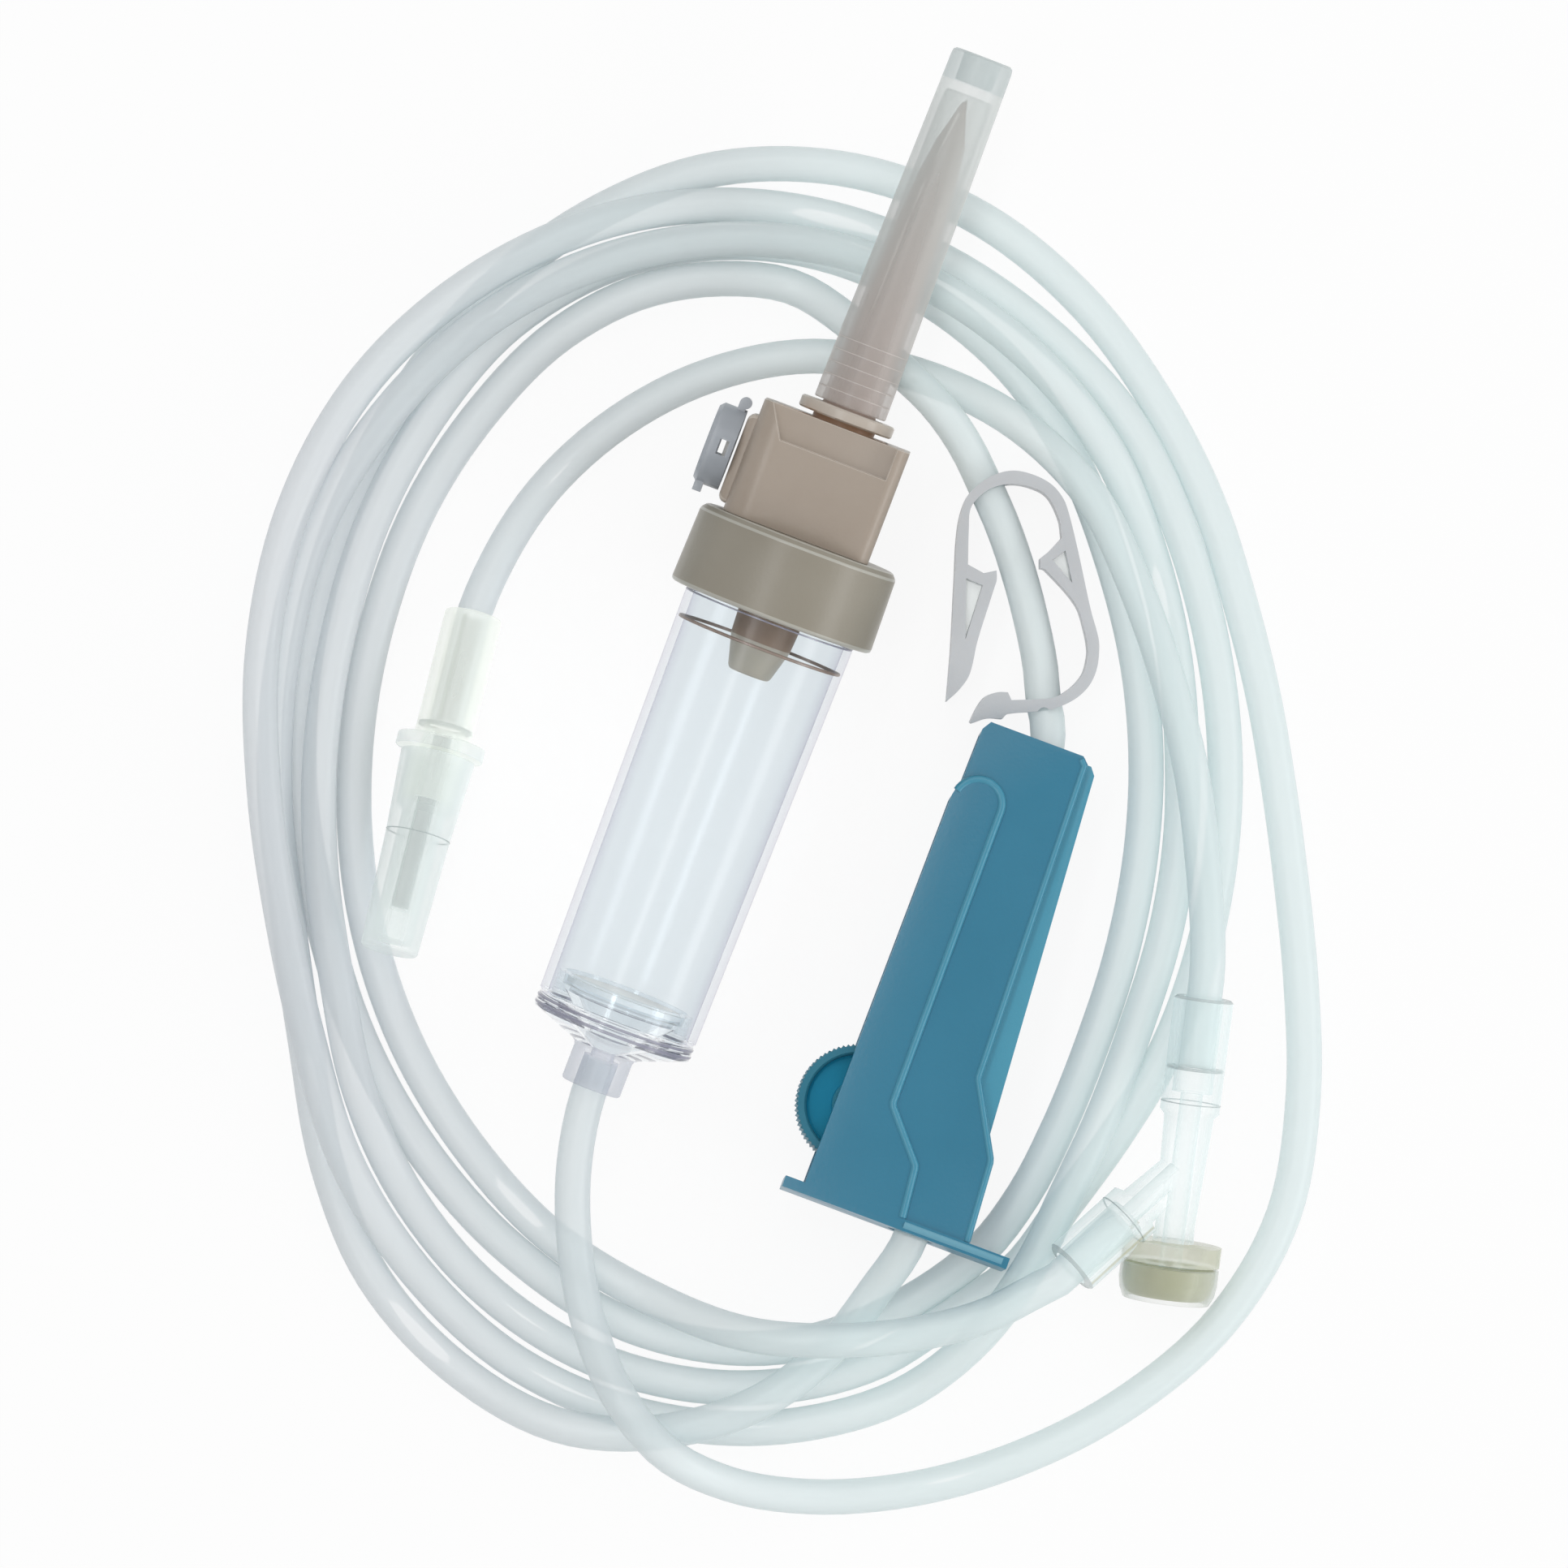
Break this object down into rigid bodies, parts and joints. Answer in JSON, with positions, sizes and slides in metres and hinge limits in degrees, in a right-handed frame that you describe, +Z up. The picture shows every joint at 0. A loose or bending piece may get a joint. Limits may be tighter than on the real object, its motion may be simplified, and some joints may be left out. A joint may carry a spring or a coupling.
{
  "type": "iv infusion set",
  "caption": "Gravity drip line lying coiled: capped vented spike, clear drip chamber, thin tube, pinch clamp, roller clamp, side-port connector and capped luer end.",
  "frame": {"origin": "on the surface the set lies on, below the middle of the box around its rigid pieces", "axes": "+Z up from the surface, +Y along the coil's longer way towards the spike's end, +X across it"},
  "size_m": [0.1243, 0.1684, 0.0248],
  "materials": {
    "clear": "clear",
    "tube": "clear, slightly cloudy",
    "head": "satin",
    "collar": "satin",
    "cap": "translucent",
    "vent": "translucent",
    "felt": "matte",
    "luer": "translucent",
    "sleeve": "translucent",
    "white": "satin",
    "blue": "satin",
    "bung": "matte"
  },
  "bodies": {
    "set": {"chamber_base": "clear", "chamber_collar": "collar", "drip_chamber": "clear", "fluid_filter": "felt", "luer_fitting": "luer", "luer_sleeve": "sleeve", "luer_tube": "tube", "main_tube": "tube", "pinch_clamp": "white", "roller_housing": "blue", "septum_shroud": "clear", "spike_head": "head", "vent_filter": "felt", "y_body": "clear", "y_septum": "bung"},
    "spike_cap": {"spike_cap": "cap"},
    "luer_cap": {"luer_cap": "luer"},
    "vent_cap": {"vent_cap": "vent"},
    "roller_axle": {"roller_axle": "blue"},
    "roller_wheel": {"roller_wheel": "blue"}
  },
  "joints": [
    {"name": "spike_cap_slide", "type": "slide", "parent": "set", "child": "spike_cap", "axis": [0.3566, 0.9328, 0.0527], "range_m": [0, 0.045]},
    {"name": "luer_cap_slide", "type": "slide", "parent": "set", "child": "luer_cap", "axis": [-0.2369, -0.9574, 0.165], "range_m": [0, 0.02]},
    {"name": "vent_cap_hinge", "type": "hinge", "parent": "set", "child": "vent_cap", "pos_m": [-0.0059, 0.03165, 0.01335], "axis": [0.0188, 0.0492, -0.9986], "range_deg": [0, 110]},
    {"name": "roller_travel", "type": "slide", "parent": "set", "child": "roller_axle", "axis": [0.3713, 0.9256, -0.0732], "range_m": [0, 0.034]},
    {"name": "roller_spin", "type": "hinge", "parent": "roller_axle", "child": "roller_wheel", "pos_m": [0.0067, -0.04895, 0.00962], "axis": [0.0255, 0.0686, 0.9973], "range_deg": [-285, 0]}
  ],
  "couplings": [
    {"joint": "roller_spin", "follows": "roller_travel", "rad_per_m": -142.86}
  ]
}
